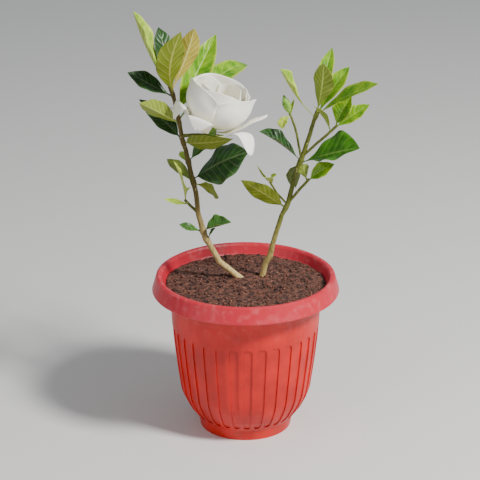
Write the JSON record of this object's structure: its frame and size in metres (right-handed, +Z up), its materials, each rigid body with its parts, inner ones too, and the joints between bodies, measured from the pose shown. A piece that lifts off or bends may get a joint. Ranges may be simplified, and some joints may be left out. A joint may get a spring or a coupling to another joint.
{
  "type": "potted gardenia",
  "caption": "Gardenia shrub with glossy leaves, a double white flower and a bud, growing in a ribbed nursery pot filled with soil.",
  "frame": {"origin": "centre of the pot's foot, on the ground", "axes": "+Z up, -Y the front, +X to the right as seen from the front"},
  "size_m": [0.2544, 0.2, 0.4591],
  "materials": {
    "pot": "satin",
    "soil": "matte",
    "left_stem": "matte",
    "right_stem": "matte",
    "leaves": "glossy",
    "petals": "matte",
    "calyx": "satin",
    "flower_bud": "satin"
  },
  "bodies": {
    "root": {"pot": "pot", "soil": "soil", "left_stem": "left_stem", "right_stem": "right_stem", "calyx": "calyx", "flower_bud": "flower_bud", "leaf_01": "leaves", "leaf_02": "leaves", "leaf_03": "leaves", "leaf_04": "leaves", "leaf_05": "leaves", "leaf_06": "leaves", "leaf_07": "leaves", "leaf_08": "leaves", "leaf_09": "leaves", "leaf_10": "leaves", "leaf_11": "leaves", "leaf_12": "leaves", "leaf_13": "leaves", "leaf_14": "leaves", "leaf_15": "leaves", "leaf_16": "leaves", "leaf_17": "leaves", "leaf_18": "leaves", "leaf_19": "leaves", "leaf_20": "leaves", "leaf_21": "leaves", "leaf_22": "leaves", "leaf_23": "leaves", "leaf_24": "leaves", "leaf_25": "leaves", "leaf_26": "leaves", "leaf_27": "leaves", "leaf_28": "leaves", "leaf_29": "leaves", "leaf_30": "leaves", "leaf_31": "leaves", "leaf_32": "leaves", "leaf_33": "leaves", "leaf_34": "leaves", "leaf_35": "leaves", "leaf_36": "leaves", "leaf_37": "leaves", "leaf_38": "leaves", "leaf_39": "leaves", "leaf_40": "leaves", "leaf_41": "leaves", "petal_01": "petals", "petal_02": "petals", "petal_03": "petals", "petal_04": "petals", "petal_05": "petals", "petal_06": "petals", "petal_07": "petals", "petal_08": "petals", "petal_09": "petals", "petal_10": "petals", "petal_11": "petals", "petal_12": "petals", "petal_13": "petals"}
  },
  "joints": []
}
